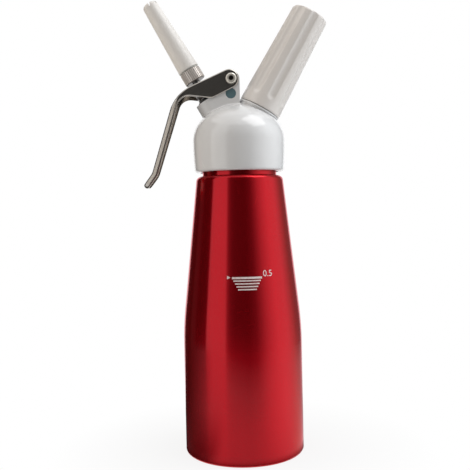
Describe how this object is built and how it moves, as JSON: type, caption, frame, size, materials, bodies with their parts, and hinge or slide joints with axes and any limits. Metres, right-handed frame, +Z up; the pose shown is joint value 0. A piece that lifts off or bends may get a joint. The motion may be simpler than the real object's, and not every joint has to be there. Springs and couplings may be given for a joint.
{
  "type": "whipped cream dispenser",
  "caption": "Lever-operated gas dispenser: tapered metal bottle, screwed domed head, squeeze lever over a sprung valve stem, tapered star nozzle and a fluted charger holder.",
  "frame": {"origin": "centre of the bottle's base, in the plane that it stands on", "axes": "+Z up along the bottle; -X towards the nozzle and the lever's handle, +X towards the charger holder; the lever moves in the XZ plane"},
  "size_m": [0.1244, 0.08, 0.304],
  "materials": {
    "red_lacquer": "red metallic lacquer over aluminium, glossy",
    "white_plastic": "glossy white moulded plastic",
    "nozzle_plastic": "off-white moulded plastic, satin",
    "holder_plastic": "translucent pale grey moulded plastic",
    "plug_plastic": "blue-grey moulded plastic",
    "bush_plastic": "dark moulded plastic",
    "lever_steel": "polished stainless steel",
    "pivot_steel": "polished stainless steel",
    "stem_steel": "turned stainless steel",
    "spring_steel": "spring steel wire",
    "ring_metal": "knurled, nickel-plated brass",
    "port_brass": "turned brass",
    "charger_steel": "zinc-plated drawn steel",
    "seal_rubber": "black rubber",
    "gasket_rubber": "pale silicone rubber"
  },
  "bodies": {
    "bottle": {"bottle": "red_lacquer"},
    "gasket": {"head_gasket": "gasket_rubber"},
    "head": {"head": "white_plastic", "pivot_nut": "pivot_steel", "pivot_screw": "pivot_steel", "side_plug": "plug_plastic", "valve_bush": "bush_plastic", "bush_o_ring": "seal_rubber", "port_insert": "port_brass", "piercing_pin": "stem_steel", "charger_seal": "seal_rubber", "check_valve": "seal_rubber", "return_spring": "spring_steel"},
    "lever": {"lever": "lever_steel"},
    "valve": {"valve_stem": "stem_steel", "stem_o_ring": "seal_rubber", "valve_seal": "seal_rubber", "valve_screw": "stem_steel", "nozzle_adapter": "ring_metal"},
    "washer": {"nozzle_washer": "seal_rubber"},
    "nozzle": {"nozzle": "nozzle_plastic"},
    "charger": {"gas_charger": "charger_steel"},
    "holder": {"charger_holder": "holder_plastic"}
  },
  "joints": [
    {"name": "gasket_lift", "type": "slide", "parent": "bottle", "child": "gasket", "axis": [0, 0, 1], "range_m": [0, 0.00905]},
    {"name": "head_turn", "type": "hinge", "parent": "gasket", "child": "head", "pos_m": [0, 0, 0.1996], "axis": [0, 0, 1], "range_deg": [0, 900]},
    {"name": "lever_squeeze", "type": "hinge", "parent": "head", "child": "lever", "pos_m": [-0.00421, 0, 0.24949], "axis": [0, -1, 0], "range_deg": [0, 8.35]},
    {"name": "valve_press", "type": "slide", "parent": "head", "child": "valve", "axis": [0.5, 0, -0.866], "range_m": [0, 0.003], "stiffness_N_per_m": 2500, "springref_m": -0.003, "deforming": ["return_spring"]},
    {"name": "washer_slide", "type": "slide", "parent": "valve", "child": "washer", "axis": [-0.5, 0, 0.866], "range_m": [0, 0.0049]},
    {"name": "nozzle_turn", "type": "hinge", "parent": "washer", "child": "nozzle", "pos_m": [0, 0, 0.201], "axis": [-0.5, 0, 0.866], "range_deg": [0, 1080]},
    {"name": "charger_slide", "type": "slide", "parent": "head", "child": "charger", "axis": [0.4924, 0, 0.8704], "range_m": [0, 0.0076]},
    {"name": "holder_turn", "type": "hinge", "parent": "charger", "child": "holder", "pos_m": [0, 0, 0.205], "axis": [0.4924, 0, 0.8704], "range_deg": [0, 1080]}
  ],
  "couplings": [
    {"joint": "gasket_lift", "follows": "head_turn", "m_per_rad": 0.00057296},
    {"joint": "lever_squeeze", "follows": "valve_press", "rad_per_m": 48.544},
    {"joint": "washer_slide", "follows": "nozzle_turn", "m_per_rad": 0.00025465},
    {"joint": "charger_slide", "follows": "holder_turn", "m_per_rad": 0.00039789}
  ]
}
